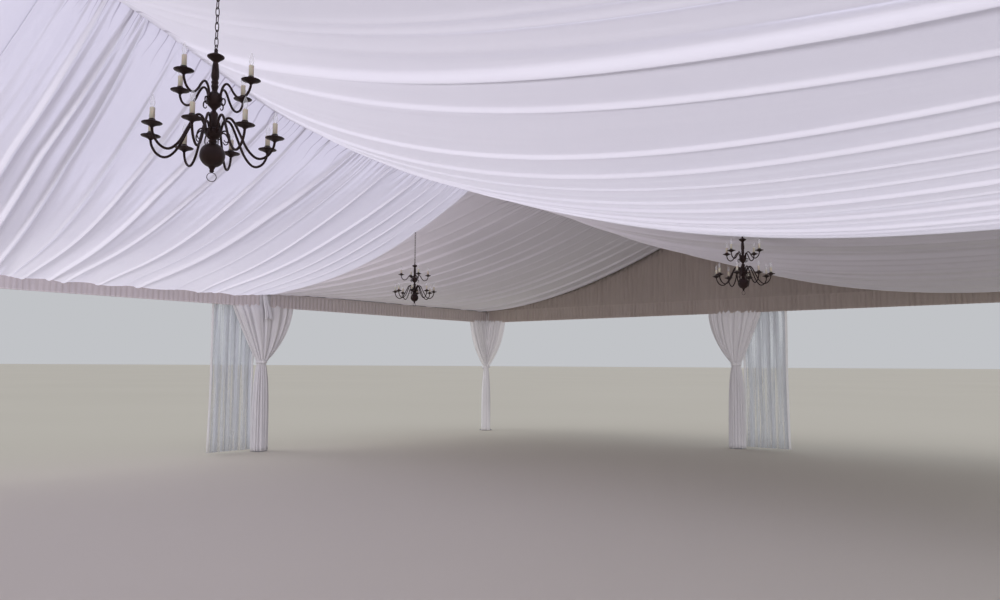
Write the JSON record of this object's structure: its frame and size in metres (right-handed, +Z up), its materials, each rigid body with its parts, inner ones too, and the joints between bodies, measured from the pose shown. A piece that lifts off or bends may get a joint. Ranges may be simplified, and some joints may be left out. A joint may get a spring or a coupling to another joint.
{
  "type": "frame marquee with ceiling lining",
  "caption": "Open-sided gable frame marquee with a swagged white ceiling lining, pleated valances, tied leg drapes, clear side curtains and chandeliers on chains.",
  "frame": {"origin": "on the ground at the middle of the footprint", "axes": "+Z up, +Y along the ridge to the far gable, X across the tent"},
  "size_m": [12.492, 18.592, 4.8418],
  "materials": {
    "frame_tube": "satin mill aluminium",
    "roof_cover": "white coated vinyl, semi-gloss",
    "ceiling_lining": "sheer white woven cloth in loose folds",
    "pleated_lining": "white woven cloth in fine upright pleats",
    "leg_drape": "sheer white woven cloth, gathered",
    "clear_curtain": "clear soft vinyl with a white hem",
    "chandelier": "dark bronze paint, satin"
  },
  "bodies": {
    "root": {"ceiling_batten": "frame_tube", "ceiling_left_far": "ceiling_lining", "ceiling_left_middle": "ceiling_lining", "ceiling_left_near": "ceiling_lining", "ceiling_right_far": "ceiling_lining", "ceiling_right_middle": "ceiling_lining", "ceiling_right_near": "ceiling_lining", "chandelier_1": "chandelier", "chandelier_2": "chandelier", "chandelier_3": "chandelier", "chandelier_4": "chandelier", "clear_curtain_gable_far": "clear_curtain", "clear_curtain_gable_near": "clear_curtain", "clear_curtain_left_2": "clear_curtain", "clear_curtain_left_3": "clear_curtain", "clear_curtain_right_2": "clear_curtain", "clear_curtain_right_3": "clear_curtain", "drape_gable_far": "leg_drape", "drape_gable_near": "leg_drape", "drape_left_1": "leg_drape", "drape_left_2": "leg_drape", "drape_left_3": "leg_drape", "drape_left_4": "leg_drape", "drape_right_1": "leg_drape", "drape_right_2": "leg_drape", "drape_right_3": "leg_drape", "drape_right_4": "leg_drape", "eave_rail_left": "frame_tube", "eave_rail_right": "frame_tube", "gable_lining_far": "pleated_lining", "gable_lining_near": "pleated_lining", "gable_rail_far": "frame_tube", "gable_rail_near": "frame_tube", "leg_gable_far": "frame_tube", "leg_gable_near": "frame_tube", "leg_left_1": "frame_tube", "leg_left_2": "frame_tube", "leg_left_3": "frame_tube", "leg_left_4": "frame_tube", "leg_right_1": "frame_tube", "leg_right_2": "frame_tube", "leg_right_3": "frame_tube", "leg_right_4": "frame_tube", "rafters_1": "frame_tube", "rafters_2": "frame_tube", "rafters_3": "frame_tube", "rafters_4": "frame_tube", "ridge_beam": "frame_tube", "roof_cover_far": "roof_cover", "roof_cover_middle": "roof_cover", "roof_cover_near": "roof_cover", "valance_left": "pleated_lining", "valance_right": "pleated_lining"}
  },
  "joints": []
}
